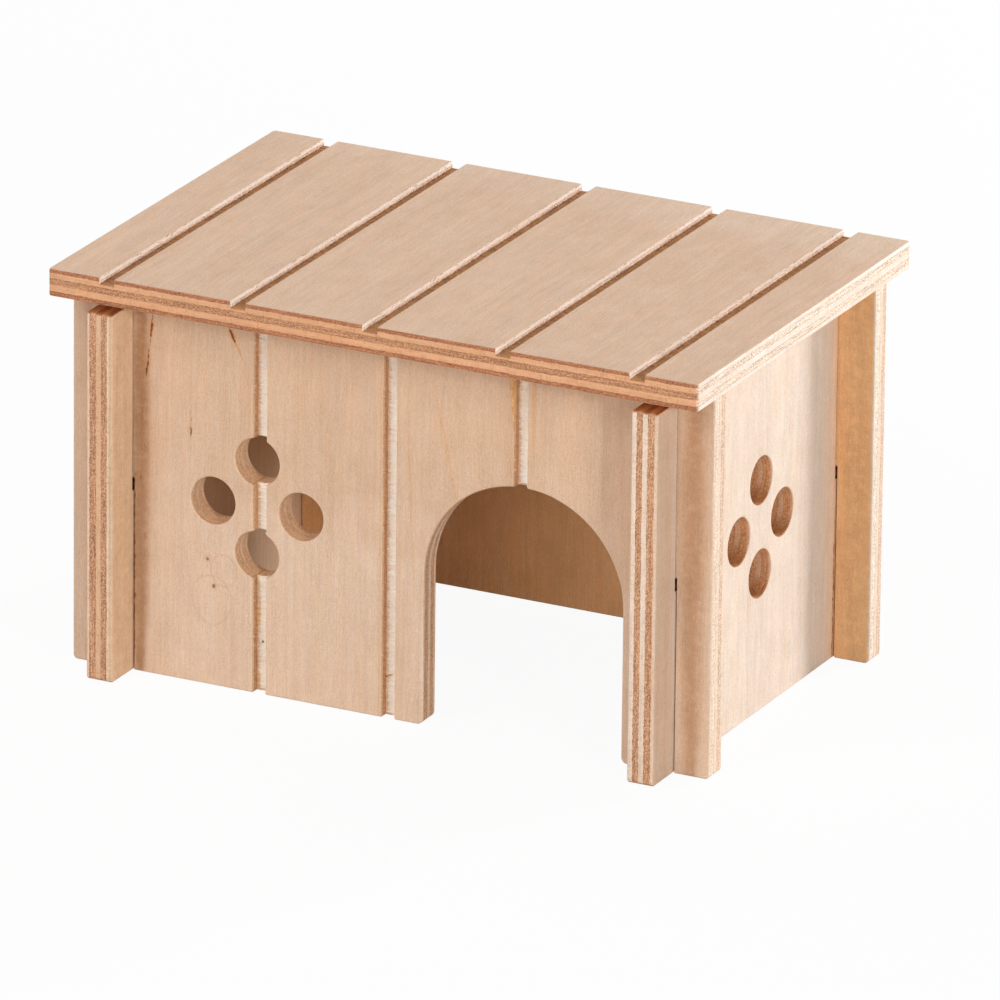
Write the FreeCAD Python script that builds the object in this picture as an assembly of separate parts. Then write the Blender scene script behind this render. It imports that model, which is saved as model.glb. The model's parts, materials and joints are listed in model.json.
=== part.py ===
"""A small animal house of plywood: four cross-lapped walls and a roof that lifts off.

Millimetres. X runs along the front, Y from the front to the back, Z up. The origin
is the middle of the footprint, on the surface that the walls stand on.
"""
import FreeCAD, Part
import math
import os

V = FreeCAD.Vector

# Board
BOARD = 6.0                # thickness of every plywood board
WALL_ARRIS = 0.4           # rounding of the walls' sanded edges
ROOF_ARRIS = 0.35          # rounding of the roof board's sanded edges

# Walls
HOUSE_WIDTH = 132.0        # between the outer faces of the two side walls
HOUSE_DEPTH = 82.0         # between the outer faces of the front and back walls
WALL_HEIGHT = 83.5         # front and back walls, which carry the roof
SIDE_DROP = 2.0            # how much lower the side walls are
END_RUN = 8.2              # how far the front and back walls run past the side walls
TAB_RUN = 9.4              # how far the side walls run past the front and back walls
FOOT_RADIUS = 1.0          # outline radius at the walls' bottom corners
TAB_RADIUS = 0.9           # outline radius at the top corners of the side walls' tabs

# Cross laps, where a front or back wall and a side wall are slotted into each other
LAP_HEIGHT = 41.5          # where the two slots of a lap would meet
LAP_PLAY = 1.5             # how far each slot runs past the lap height
SLOT_CLEARANCE = 0.35      # gap on each side of a board in its slot

# Door, in the front wall
DOOR_CENTRE_X = 31.0
DOOR_WIDTH = 46.0
DOOR_SPRING = 33.3         # height of the straight jambs, where the round arch starts
JAMB_RADIUS = 1.3          # outline radius at the jambs' feet

# Vent holes, four in a diamond
VENT_DIAMETER = 10.4
VENT_SPREAD = 10.3         # from the middle of a group to each hole's centre
VENT_HEIGHT = 41.0         # height of a group's middle
FRONT_VENT_X = -30.9       # middle of the front wall's group
SIDE_VENT_Y = -1.0         # middle of the right side wall's group
VENT_ARRIS = 0.3

# Grooves that make the boards look like planks
FRONT_GROOVE_PITCH = 30.2
FRONT_GROOVE_COUNT = 3
FRONT_GROOVE_WIDTH = 3.2
FRONT_GROOVE_DEPTH = 2.2
ROOF_GROOVE_PITCH = 30.6
ROOF_GROOVE_COUNT = 5
ROOF_GROOVE_WIDTH = 3.5
ROOF_GROOVE_DEPTH = 1.6

# Roof
ROOF_SIDE_OVERHANG = 0.8   # past the ends of the front and back walls
ROOF_FRONT_OVERHANG = 0.1  # past the ends of the side walls
ROOF_CORNER = 0.8          # outline radius at the roof board's corners
BATTEN_WIDTH = 8.0
BATTEN_HEIGHT = 7.0
BATTEN_ARRIS = 0.6
BATTEN_CLEARANCE = 0.8     # gap between a batten and each wall around it

# Sizes worked out from those above
FRONT_LENGTH = HOUSE_WIDTH + 2 * END_RUN
SIDE_LENGTH = HOUSE_DEPTH + 2 * TAB_RUN
SIDE_HEIGHT = WALL_HEIGHT - SIDE_DROP
SIDE_MIDDLE_X = HOUSE_WIDTH / 2 - BOARD / 2
FRONT_MIDDLE_Y = HOUSE_DEPTH / 2 - BOARD / 2
SLOT_WIDTH = BOARD + 2 * SLOT_CLEARANCE
LOWER_SLOT_TOP = LAP_HEIGHT + LAP_PLAY
UPPER_SLOT_FLOOR = LAP_HEIGHT - LAP_PLAY
ROOF_WIDTH = FRONT_LENGTH + 2 * ROOF_SIDE_OVERHANG
ROOF_DEPTH = SIDE_LENGTH + 2 * ROOF_FRONT_OVERHANG
PAST = 1.0                 # how far a cutting solid runs past what it cuts
TINY = 1e-6


def outline(corners):
    """Closed wire in the XZ plane through corners (x, z, radius), each rounded by an arc."""
    count = len(corners)
    rounds = []
    for i in range(count):
        here = V(corners[i][0], 0, corners[i][1])
        back = V(corners[i - 1][0], 0, corners[i - 1][1]) - here
        ahead = V(corners[(i + 1) % count][0], 0, corners[(i + 1) % count][1]) - here
        back.normalize()
        ahead.normalize()
        half = back.getAngle(ahead) / 2
        radius = corners[i][2]
        reach = radius / math.tan(half)
        middle = back + ahead
        middle.normalize()
        depth = radius / math.sin(half) - radius
        rounds.append((here + back * reach, here + middle * depth, here + ahead * reach, radius))
    edges = []
    for i in range(count):
        start, crown, end, radius = rounds[i]
        if radius > 0:
            edges.append(Part.Arc(start, crown, end).toShape())
        follow = rounds[(i + 1) % count][0]
        if end.distanceToPoint(follow) > TINY:
            edges.append(Part.LineSegment(end, follow).toShape())
    return Part.Wire(edges)


def board(corners, thickness):
    """Board of the given outline, with its thickness centred on the XZ plane."""
    face = Part.Face(outline(corners))
    face.translate(V(0, -thickness / 2, 0))
    return face.extrude(V(0, thickness, 0))


def soften(solid, thickness, radius):
    """Round the edges around both faces of a board whose thickness is centred on the XZ plane."""
    rims = []
    for edge in solid.Edges:
        box = edge.BoundBox
        if box.YLength < TINY and abs(abs(box.YMin) - thickness / 2) < TINY:
            rims.append(edge)
    return solid.makeFillet(radius, rims)


def vent_group(middle_x):
    """Four round cutters in a diamond, across a board on the XZ plane."""
    drills = []
    for turn in range(4):
        angle = math.radians(90 * turn)
        x = middle_x + VENT_SPREAD * math.cos(angle)
        z = VENT_HEIGHT + VENT_SPREAD * math.sin(angle)
        start = V(x, -BOARD / 2 - PAST, z)
        drills.append(Part.makeCylinder(VENT_DIAMETER / 2, BOARD + 2 * PAST, start, V(0, 1, 0)))
    return drills


def vented(solid, middle_x):
    """Drill a group of vent holes and round their rims."""
    for drill in vent_group(middle_x):
        solid = solid.cut(drill)
    rims = []
    for edge in solid.Edges:
        curve = edge.Curve
        if isinstance(curve, Part.Circle) and abs(curve.Radius - VENT_DIAMETER / 2) < TINY:
            rims.append(edge)
    return solid.makeFillet(VENT_ARRIS, rims)


def slot(middle_x, floor, top):
    """Cutter for a lap's slot, across a board on the XZ plane."""
    start = V(middle_x - SLOT_WIDTH / 2, -BOARD / 2 - PAST, floor)
    return Part.makeBox(SLOT_WIDTH, BOARD + 2 * PAST, top - floor, start)


def door_notch():
    """Outline corners of the door, whose two top corners join into a half-round arch."""
    left = DOOR_CENTRE_X - DOOR_WIDTH / 2
    right = DOOR_CENTRE_X + DOOR_WIDTH / 2
    top = DOOR_SPRING + DOOR_WIDTH / 2
    return [(left, 0, JAMB_RADIUS), (left, top, DOOR_WIDTH / 2),
            (right, top, DOOR_WIDTH / 2), (right, 0, JAMB_RADIUS)]


def cross_wall(notch):
    """Front or back wall, notched at the bottom, with a slot for each side wall."""
    end = FRONT_LENGTH / 2
    corners = [(-end, 0, FOOT_RADIUS)] + notch
    corners += [(end, 0, FOOT_RADIUS), (end, WALL_HEIGHT, 0), (-end, WALL_HEIGHT, 0)]
    wall = soften(board(corners, BOARD), BOARD, WALL_ARRIS)
    for middle_x in (-SIDE_MIDDLE_X, SIDE_MIDDLE_X):
        wall = wall.cut(slot(middle_x, -PAST, LOWER_SLOT_TOP))
    return wall


def front_wall():
    """Front wall with the arched door, the vent holes and the plank grooves."""
    wall = vented(cross_wall(door_notch()), FRONT_VENT_X)
    for i in range(FRONT_GROOVE_COUNT):
        middle = (i - (FRONT_GROOVE_COUNT - 1) / 2) * FRONT_GROOVE_PITCH
        start = V(middle - FRONT_GROOVE_WIDTH / 2, -BOARD / 2 - PAST, -PAST)
        depth = FRONT_GROOVE_DEPTH + PAST
        wall = wall.cut(Part.makeBox(FRONT_GROOVE_WIDTH, depth, WALL_HEIGHT + 2 * PAST, start))
    wall.translate(V(0, -FRONT_MIDDLE_Y, 0))
    return wall


def back_wall():
    """Plain back wall."""
    wall = cross_wall([])
    wall.translate(V(0, FRONT_MIDDLE_Y, 0))
    return wall


def side_wall():
    """Side wall on the XZ plane, with a slot for the front and back walls."""
    end = SIDE_LENGTH / 2
    corners = [(-end, 0, FOOT_RADIUS), (end, 0, FOOT_RADIUS),
               (end, SIDE_HEIGHT, TAB_RADIUS), (-end, SIDE_HEIGHT, TAB_RADIUS)]
    wall = soften(board(corners, BOARD), BOARD, WALL_ARRIS)
    for middle_y in (-FRONT_MIDDLE_Y, FRONT_MIDDLE_Y):
        wall = wall.cut(slot(middle_y, UPPER_SLOT_FLOOR, SIDE_HEIGHT + PAST))
    return wall


def at_side(wall, quarter_turns):
    """Side wall turned to the right (1) or the left (-1) side of the house."""
    wall.translate(V(0, -SIDE_MIDDLE_X, 0))
    wall.rotate(V(0, 0, 0), V(0, 0, 1), 90 * quarter_turns)
    return wall


def roof_board():
    """Roof board with its plank grooves, which run from front to back."""
    width = ROOF_WIDTH / 2
    depth = ROOF_DEPTH / 2
    corners = [(-width, -depth, ROOF_CORNER), (width, -depth, ROOF_CORNER),
               (width, depth, ROOF_CORNER), (-width, depth, ROOF_CORNER)]
    roof = soften(board(corners, BOARD), BOARD, ROOF_ARRIS)
    roof.rotate(V(0, 0, 0), V(1, 0, 0), -90)
    roof.translate(V(0, 0, WALL_HEIGHT + BOARD / 2))
    floor = WALL_HEIGHT + BOARD - ROOF_GROOVE_DEPTH
    for i in range(ROOF_GROOVE_COUNT):
        middle = (i - (ROOF_GROOVE_COUNT - 1) / 2) * ROOF_GROOVE_PITCH
        start = V(middle - ROOF_GROOVE_WIDTH / 2, -depth - PAST, floor)
        height = ROOF_GROOVE_DEPTH + PAST
        roof = roof.cut(Part.makeBox(ROOF_GROOVE_WIDTH, ROOF_DEPTH + 2 * PAST, height, start))
    return roof


def roof_batten(side):
    """Batten glued under the roof, just inside the front (-1) or the back (+1) wall."""
    length = HOUSE_WIDTH - 2 * BOARD - 2 * BATTEN_CLEARANCE
    outer_face = HOUSE_DEPTH / 2 - BOARD - BATTEN_CLEARANCE
    middle_y = side * (outer_face - BATTEN_WIDTH / 2)
    corner = V(-length / 2, middle_y - BATTEN_WIDTH / 2, WALL_HEIGHT - BATTEN_HEIGHT)
    batten = Part.makeBox(length, BATTEN_WIDTH, BATTEN_HEIGHT, corner)
    lower_edges = [edge for edge in batten.Edges if edge.BoundBox.ZMin < corner.z + TINY]
    return batten.makeFillet(BATTEN_ARRIS, lower_edges)


def main():
    os.makedirs("parts", exist_ok=True)
    nodes = {
        "front_wall": front_wall(),
        "back_wall": back_wall(),
        "right_side_wall": at_side(vented(side_wall(), SIDE_VENT_Y), 1),
        "left_side_wall": at_side(side_wall(), -1),
        "roof_board": roof_board(),
        "front_roof_batten": roof_batten(-1),
        "back_roof_batten": roof_batten(1),
    }
    for name, shape in nodes.items():
        box = shape.BoundBox
        print(name, len(shape.Solids), shape.isValid(), round(shape.Volume, 1),
              [round(value, 3) for value in (box.XMin, box.XMax, box.YMin, box.YMax, box.ZMin, box.ZMax)])
        shape.exportStep(f"parts/{name}.step")


main()
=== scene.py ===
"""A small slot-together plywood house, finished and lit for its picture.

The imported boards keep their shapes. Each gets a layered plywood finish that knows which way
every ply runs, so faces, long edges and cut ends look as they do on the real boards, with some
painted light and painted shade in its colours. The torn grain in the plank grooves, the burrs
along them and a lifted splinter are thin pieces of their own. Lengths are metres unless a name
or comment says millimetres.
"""

import json
import logging
import math
from dataclasses import dataclass, field, replace
from enum import Enum
from typing import Callable, Optional, Sequence, Union

import bpy
import numpy as np
from mathutils import Matrix, Vector

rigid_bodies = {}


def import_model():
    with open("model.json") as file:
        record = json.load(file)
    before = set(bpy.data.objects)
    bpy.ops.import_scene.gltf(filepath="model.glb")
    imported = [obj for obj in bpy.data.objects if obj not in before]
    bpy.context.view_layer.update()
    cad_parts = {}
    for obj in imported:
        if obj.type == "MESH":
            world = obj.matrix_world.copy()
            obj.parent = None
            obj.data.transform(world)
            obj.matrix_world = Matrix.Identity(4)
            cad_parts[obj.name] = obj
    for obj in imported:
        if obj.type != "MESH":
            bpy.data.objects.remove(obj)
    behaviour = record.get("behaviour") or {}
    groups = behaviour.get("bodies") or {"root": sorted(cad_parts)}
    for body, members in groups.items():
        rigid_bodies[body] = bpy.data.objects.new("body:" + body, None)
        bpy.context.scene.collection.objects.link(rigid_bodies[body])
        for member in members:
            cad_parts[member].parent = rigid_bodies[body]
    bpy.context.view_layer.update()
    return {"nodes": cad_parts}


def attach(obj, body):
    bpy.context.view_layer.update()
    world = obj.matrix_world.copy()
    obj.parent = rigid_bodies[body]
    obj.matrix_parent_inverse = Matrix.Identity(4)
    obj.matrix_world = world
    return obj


log = logging.getLogger("house")

MM = 0.001

Shade = tuple[float, float, float]
Point = tuple[float, float, float]
Field = Callable[[np.ndarray], np.ndarray]


class Way(Enum):
    """The three ways that a board or its grain can run."""

    ACROSS = 0      # along the front of the house, X
    DEEP = 1        # from the front to the back, Y
    UP = 2          # Z


class Body(Enum):
    """The two bodies that pieces ride on."""

    WALLS = "walls"
    ROOF = "roof"


def linear(shade: Shade) -> tuple[float, float, float, float]:
    """A screen colour from 0 to 255 as light, with full opacity.

    Args:
        shade: red, green and blue as a screen shows them.

    Returns:
        Red, green, blue and alpha from 0 to 1 in linear light.
    """
    parts = []
    for level in shade:
        part = level / 255
        parts.append(part / 12.92 if part <= 0.04045 else ((part + 0.055) / 1.055) ** 2.4)
    return parts[0], parts[1], parts[2], 1.0


def plain(red: float, green: float, blue: float) -> tuple[float, float, float, float]:
    """A colour given in linear light, with full opacity."""
    return red, green, blue, 1.0


# Shader nodes -------------------------------------------------------------------------------


class Signal:
    """A number that changes over a surface. Sums written with it become Math nodes."""

    def __init__(self, graph: "Graph", socket: bpy.types.NodeSocket) -> None:
        """Wraps one output socket of a graph."""
        self.graph = graph
        self.socket = socket

    def then(self, operation: str, *others: "Number") -> "Signal":
        """One Math node on this number and the others."""
        return self.graph.math(operation, self, *others)

    def __add__(self, other: "Number") -> "Signal":
        """This plus other."""
        return self.then("ADD", other)

    __radd__ = __add__

    def __sub__(self, other: "Number") -> "Signal":
        """This minus other."""
        return self.then("SUBTRACT", other)

    def __rsub__(self, other: "Number") -> "Signal":
        """Other minus this."""
        return self.graph.math("SUBTRACT", other, self)

    def __mul__(self, other: "Number") -> "Signal":
        """This times other."""
        return self.then("MULTIPLY", other)

    __rmul__ = __mul__

    def __truediv__(self, other: "Number") -> "Signal":
        """This divided by other."""
        return self.then("DIVIDE", other)

    def __pow__(self, other: "Number") -> "Signal":
        """This to the power of other."""
        return self.then("POWER", other)

    def __abs__(self) -> "Signal":
        """This without its sign."""
        return self.then("ABSOLUTE")

    def above(self, level: float) -> "Signal":
        """1 where this is greater than the level, else 0."""
        return self.then("GREATER_THAN", level)

    def held(self) -> "Signal":
        """This kept between 0 and 1."""
        return self.then("MAXIMUM", 0.0).then("MINIMUM", 1.0)

    def rise(self, low: float, high: float) -> "Signal":
        """A smooth step of this, from 0 at low to 1 at high.

        Args:
            low: where the step starts.
            high: where it ends; below low, the step falls instead.

        Returns:
            A number from 0 to 1.
        """
        if high < low:
            return 1.0 - self.rise(high, low)
        step = self.graph.node(
            "ShaderNodeMapRange",
            {"interpolation_type": "SMOOTHSTEP"},
            {"Value": self, "From Min": low, "From Max": high},
        )
        return Signal(self.graph, step.outputs[0])


Number = Union[Signal, float]
Input = Union[Signal, float, Sequence[float], bpy.types.NodeSocket]


class Graph:
    """The nodes of one material."""

    def __init__(self, holder: Union[bpy.types.Material, bpy.types.World]) -> None:
        """Empties the node tree of a material or a world and adds to it from then on."""
        holder.use_nodes = True
        self.holder = holder
        self.tree = holder.node_tree
        self.tree.nodes.clear()

    @classmethod
    def of_material(cls, name: str) -> "Graph":
        """The graph of a new material with that name."""
        return cls(bpy.data.materials.new(name))

    def node(self, kind: str, settings: Optional[dict] = None,
             inputs: Optional[dict] = None) -> bpy.types.Node:
        """Adds a node, gives it its settings and then fills its sockets.

        Args:
            kind: the node's type.
            settings: its properties by name.
            inputs: values or links by socket identifier.

        Returns:
            The node.
        """
        node = self.tree.nodes.new(kind)
        for key, value in (settings or {}).items():
            setattr(node, key, value)
        sockets = {socket.identifier: socket for socket in node.inputs}
        for key, value in (inputs or {}).items():
            self.feed(sockets[key], value)
        return node

    def feed(self, socket: bpy.types.NodeSocket, value: Input) -> None:
        """Links a signal or socket to a socket, or sets it to a value."""
        if isinstance(value, Signal):
            self.tree.links.new(value.socket, socket)
        elif isinstance(value, bpy.types.NodeSocket):
            self.tree.links.new(value, socket)
        else:
            socket.default_value = value

    def math(self, operation: str, *values: Number) -> Signal:
        """One Math node on one or two numbers, by its operation's name in Blender."""
        keys = ("Value", "Value_001")
        made = self.node("ShaderNodeMath", {"operation": operation}, dict(zip(keys, values)))
        return Signal(self, made.outputs[0])

    def parts(self, vector: bpy.types.NodeSocket) -> list[Signal]:
        """The X, Y and Z of a vector as three signals."""
        split = self.node("ShaderNodeSeparateXYZ", None, {"Vector": vector})
        return [Signal(self, socket) for socket in split.outputs]

    def point(self, x: Number, y: Number, z: Number) -> bpy.types.NodeSocket:
        """A vector from three numbers or signals."""
        return self.node("ShaderNodeCombineXYZ", None, {"X": x, "Y": y, "Z": z}).outputs[0]

    def noise(self, place: Sequence[Number], detail: float = 2.0,
              roughness: float = 0.5) -> Signal:
        """Soft noise from 0 to 1, one unit in size, with finer layers by detail and roughness."""
        inputs = {"Vector": self.point(*place), "Scale": 1.0, "Detail": detail,
                  "Roughness": roughness}
        return Signal(self, self.node("ShaderNodeTexNoise", None, inputs).outputs[0])

    def cells(self, place: Sequence[Number]) -> Signal:
        """Distance to the nearest of many scattered points, one unit apart."""
        inputs = {"Vector": self.point(*place), "Scale": 1.0}
        return Signal(self, self.node("ShaderNodeTexVoronoi", None, inputs).outputs[0])

    def blend(self, factor: Number, first: Input, second: Input,
              mode: str = "MIX") -> bpy.types.NodeSocket:
        """Two colours mixed by a factor from 0 to 1, in one of Blender's blend types."""
        inputs = {"Factor_Float": factor, "A_Color": first, "B_Color": second}
        made = self.node("ShaderNodeMix", {"data_type": "RGBA", "blend_type": mode}, inputs)
        return next(socket for socket in made.outputs if socket.identifier == "Result_Color")

    def tint(self, factor: Number, colour: Input, by: Input) -> bpy.types.NodeSocket:
        """A colour multiplied by a tint, by a factor from 0 to 1."""
        return self.blend(factor, colour, by, "MULTIPLY")

    def own_place(self) -> tuple[list[Signal], list[Signal]]:
        """Where a point of the piece is, in millimetres, and which way it faces.

        Returns:
            X, Y and Z in millimetres, and the X, Y and Z of the surface's own normal.
        """
        source = self.node("ShaderNodeTexCoord")
        grown = self.node("ShaderNodeVectorMath", {"operation": "SCALE"},
                          {"Vector": source.outputs["Object"], "Scale": 1 / MM})
        return self.parts(grown.outputs[0]), self.parts(source.outputs["Normal"])

    def surface(self, colour: Input, roughness: Number, height: Signal, relief_mm: float,
                shine: float = 0.35) -> bpy.types.Material:
        """Closes the graph with one surface shader.

        Args:
            colour: base colour.
            roughness: roughness.
            height: relief from 0 to 1.
            relief_mm: how high a relief of 1 stands, in millimetres.
            shine: strength of the surface's own reflection.

        Returns:
            The finished material.
        """
        bump = self.node("ShaderNodeBump", None,
                         {"Height": height, "Distance": relief_mm * MM, "Strength": 1.0})
        shader = self.node("ShaderNodeBsdfPrincipled", None, {
            "Base Color": colour, "Roughness": roughness, "Normal": bump.outputs[0],
            "Specular IOR Level": shine,
        })
        self.node("ShaderNodeOutputMaterial", None, {"Surface": shader.outputs[0]})
        return self.holder


def distance(first: Signal, second: Signal) -> Signal:
    """The root of the squares of two lengths."""
    return (first * first + second * second) ** 0.5


def from_groove(across: Signal, pitch: float) -> Signal:
    """How far right of the nearest plank groove's middle a place is, where one groove is on 0.

    It is what is left of the place after whole pitches, with ten and a half pitches added first.
    """
    return ((across / pitch + 10.5).then("FRACT") - 0.5) * pitch


# Finishes -----------------------------------------------------------------------------------


@dataclass(frozen=True)
class Sheet:
    """Colours of one sheet of plywood, as a screen shows them."""

    face: Shade         # outer face
    edge: Shade         # outer and middle plies, cut along their grain
    core_edge: Shade    # second and fourth plies, cut along their grain
    core_end: Shade     # and across it
    inner: Shade = (238, 202, 160)          # inner face
    end: Shade = (178, 122, 86)             # outer plies, cut across their grain
    middle_end: Shade = (186, 134, 98)      # middle ply, cut across its grain
    core_face: Shade = (224, 190, 158)      # second and fourth plies, laid open by a groove
    bored: Shade = (232, 192, 152)          # every ply, where a drill has torn it
    middle_edge: Optional[Shade] = None     # middle ply along its grain, if not as edge


@dataclass(frozen=True)
class Bore:
    """Where a group of drilled holes lies in a board, in millimetres."""

    along: float
    across: float
    reach: float        # from the group's middle to its furthest rim


@dataclass(frozen=True)
class Mark:
    """A mark that runs with the grain of a face, in millimetres."""

    along: float        # its middle, on the board's grain coordinate
    across: float       # and on the other one
    length: float
    width: float
    lean: float = 0.0   # sideways run for each unit of length
    depth: float = 0.5  # strength, from 0 to 1


@dataclass(frozen=True)
class Streak(Mark):
    """A dark crack or resin line in the outer face."""


@dataclass(frozen=True)
class StainOrPaintedLight(Mark):
    """A soft stripe of tinted wood: some are the wood's own tint, others painted light or painted
    shade.
    """

    tint: Shade = (0.99, 0.82, 0.62)    # what the wood's light is multiplied by
    inside: bool = False                # whether it lies in the inner face


@dataclass(frozen=True)
class Knot:
    """A pin knot in a face, with a faint oval ring round it, in millimetres."""

    along: float
    across: float
    radius: float
    ring: float = 0.0           # half the ring's width across the grain; 0 for none
    ring_along: float = 0.0     # where the ring's middle is
    ring_across: float = 0.0
    depth: float = 0.8


@dataclass(frozen=True)
class Lie:
    """Where a surface lies in its board, as signals, with lengths in millimetres."""

    run: Signal         # along the ply's own grain
    side: Signal        # across it
    along: Signal       # along the outer plies' grain
    across: Signal      # across that
    depth: Signal       # below the outer face
    own: Signal         # a number for each ply, so that their patterns differ
    second: Signal      # 1 in this ply, else 0
    middle: Signal
    fourth: Signal
    flat: Signal        # 1 where the surface lies in the board's plane


@dataclass(frozen=True)
class Plywood:
    """A board of five plies, each with its own grain, worked out from where a point lies."""

    name: str
    sheet: Sheet
    through: Way                # through the board's thickness
    grain: Way                  # the way the outer plies run
    other: Way                  # the way the second and fourth plies run
    face_mm: float              # where the outer face lies on the through axis
    inward: float               # 1 or -1, from the outer face into the board
    seed: float
    glue_mm: tuple[float, ...] = (0.9, 2.35, 3.55, 4.85)
    ragged_mm: float = 0.3      # how far the plies' borders stray from their middle lines
    streaks: tuple[Streak, ...] = ()
    stains_and_painted_light: tuple[StainOrPaintedLight, ...] = ()
    knots: tuple[Knot, ...] = ()
    speckle: float = 1.0        # how strong the cut ends' pattern is
    pale_beyond: Optional[float] = None     # past here the inner plies' cut ends are pale
    pale_fourth: bool = False               # whether the fourth ply is the paler, not the second
    bore: Optional[Bore] = None
    groove_pitch: float = 0.0   # between plank grooves, one of them on 0; 0 for none
    groove_width: float = 0.0

    def build(self) -> bpy.types.Material:
        """The board's material.

        Which ply a point is in comes from its depth below the outer face. Inside a ply, "run"
        is the coordinate along the grain and "side" the one across it, and every pattern is
        noise that is long along run and short along side. The colour goes from the flat face
        to the long edge by how squarely the surface faces out of the board, and to the cut
        end by how squarely it faces along the grain. The left wall of each plank groove is
        darkened with painted shade.

        Returns:
            The material.
        """
        graph = Graph.of_material(self.name)
        place, facing = graph.own_place()
        depth = (place[self.through.value] - self.face_mm) * self.inward
        along, across = place[self.grain.value], place[self.other.value]
        sway = graph.noise((along * 0.06, across * 0.06, self.seed), 2.0) - 0.5
        stray = graph.noise((along * 0.8, across * 0.8, self.seed + 7.0), 3.0, 0.7) - 0.5
        level = depth + sway * 0.3 + stray * self.ragged_mm * 2.0
        below = [level.above(line) for line in self.glue_mm]
        layer = below[0] + below[1] + below[2] + below[3]
        second, middle, fourth = (above - under for above, under in zip(below, below[1:]))
        turned = second + fourth
        flat = abs(facing[self.through.value]).rise(0.5, 0.95)
        lie = Lie(run=along + (across - along) * turned, side=across + (along - across) * turned,
                  along=along, across=across, depth=depth, own=layer * 17.3 + self.seed,
                  second=second, middle=middle, fourth=fourth, flat=flat)
        end_facing = facing[self.grain.value] \
            + (facing[self.other.value] - facing[self.grain.value]) * turned
        cut_end = abs(end_facing).rise(0.3, 0.9)

        colour, relief = self.long_grain(graph, lie)
        torn, torn_relief = self.torn_ends(graph, lie)
        ends = graph.tint(1.0, self.end_colour(graph, lie), torn)
        colour = graph.blend(cut_end, colour, ends)
        relief = relief + (torn_relief - relief) * cut_end
        if self.bore is not None:
            off = distance(along - self.bore.along, across - self.bore.across)
            drilled = off.rise(self.bore.reach + 1.0, self.bore.reach) * (1.0 - flat)
            bored = graph.tint(0.6, linear(self.sheet.bored), torn)
            colour = graph.blend(drilled * 0.66, colour, bored)
            relief = relief + (torn_relief - relief) * drilled * 0.6
        if self.groove_pitch:
            # Painted shade: the left wall of each plank groove is darkened.
            off = abs(from_groove(across, self.groove_pitch) + self.groove_width / 2)
            painted_groove_shade = off.rise(0.4, 0.15) * (1.0 - flat)
            colour = graph.tint(painted_groove_shade, colour, plain(0.84, 0.75, 0.64))

        glue = 1.0
        for line in self.glue_mm:
            glue = abs(level - line).rise(0.02, 0.12) * glue
        seam = (1.0 - glue) * (1.0 - flat)
        colour = graph.tint(seam * 0.4, colour, plain(0.62, 0.46, 0.34))
        colour, relief = self.marks(graph, lie, colour, relief)
        roughness = 0.58 + cut_end * 0.2 + (0.5 - relief) * 0.1
        return graph.surface(colour, roughness, relief - seam * 0.4, relief_mm=0.06)

    def long_grain(self, graph: Graph, lie: Lie) -> tuple[bpy.types.NodeSocket, Signal]:
        """Colour and relief where the surface runs with the grain.

        Noise of eight lengths and widths adds up to the tone, and more of it makes the pores,
        the warmer streaks and the saw's cuts. The grain drifts sideways along its run.

        Args:
            graph: the material's nodes.
            lie: where the surface lies.

        Returns:
            Colour and relief.
        """
        run, depth, own, turned = lie.run, lie.depth, lie.own, lie.second + lie.fourth
        drift = graph.noise((run * 0.018, lie.side * 0.07, own), 2.0) - 0.5
        side = lie.side + drift * 5.0
        under = depth * 1.3 + own
        fibre = graph.noise((run * 0.16, side * 3.2, under * 3.0), 3.0, 0.65)
        line = graph.noise((run * 0.022, side * 0.8, under), 3.0, 0.6)
        band = graph.noise((run * 0.010, side * 0.13, under), 2.0)
        fleck = graph.noise((run * 0.9, side * 2.6, under * 2.0), 2.0, 0.7)
        cloud = graph.noise((run * 0.13, side * 0.2, own + 3.0), 3.0, 0.6)
        hue = graph.noise((run * 0.05, side * 0.5, own + 11.0), 3.0, 0.6)
        pore = graph.noise((run * 0.6, side * 5.0, under * 5.0), 1.0)
        sand = graph.noise((run * 2.6, side * 3.6, under * 4.0), 2.0, 0.7)
        tone = 0.5 + ((fibre - 0.5) * 0.6 + (line - 0.5) * 0.5 + (fleck - 0.5) * 0.6
                      + (sand - 0.5) * 1.1 + (band - 0.5) * 0.4 + (cloud - 0.5) * 0.5)
        inside = depth.rise(4.0, 5.0)
        outer = graph.blend(inside, linear(self.sheet.face), linear(self.sheet.inner))
        face = graph.blend(turned, outer, linear(self.sheet.core_face))
        heart = linear(self.sheet.middle_edge or self.sheet.edge)
        edge = graph.blend(lie.middle, linear(self.sheet.edge), heart)
        edge = graph.blend(turned, edge, linear(self.sheet.core_edge))
        colour = graph.blend(lie.flat, edge, face)
        grain = graph.blend(tone.held(), plain(0.78, 0.72, 0.66), plain(1.22, 1.28, 1.34))
        colour = graph.tint(1.0, colour, grain)
        warmth = graph.blend(hue.rise(0.3, 0.7), plain(1.0, 1.0, 1.0), plain(1.01, 0.96, 0.90))
        colour = graph.tint(1.0, colour, warmth)
        flush = line.rise(0.58, 0.74) * band.rise(0.42, 0.62)
        colour = graph.tint(flush * 0.5, colour, plain(0.99, 0.84, 0.66))
        pores = pore.rise(0.64, 0.76)
        colour = graph.tint(pores * 0.4, colour, plain(0.76, 0.62, 0.48))
        sawn = graph.noise((run * 2.2, depth * 0.3, side * 0.3), 2.0, 0.6)
        cuts = (sawn - 0.5) * (1.0 - lie.flat)
        colour = graph.tint(cuts.rise(-0.04, -0.2) * 0.5, colour, plain(0.78, 0.66, 0.52))
        relief = 0.5 + (fibre - 0.5) * 0.9 + (fleck - 0.5) * 0.5 - pores * 0.4 + cuts * 0.5
        return colour, relief

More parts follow.
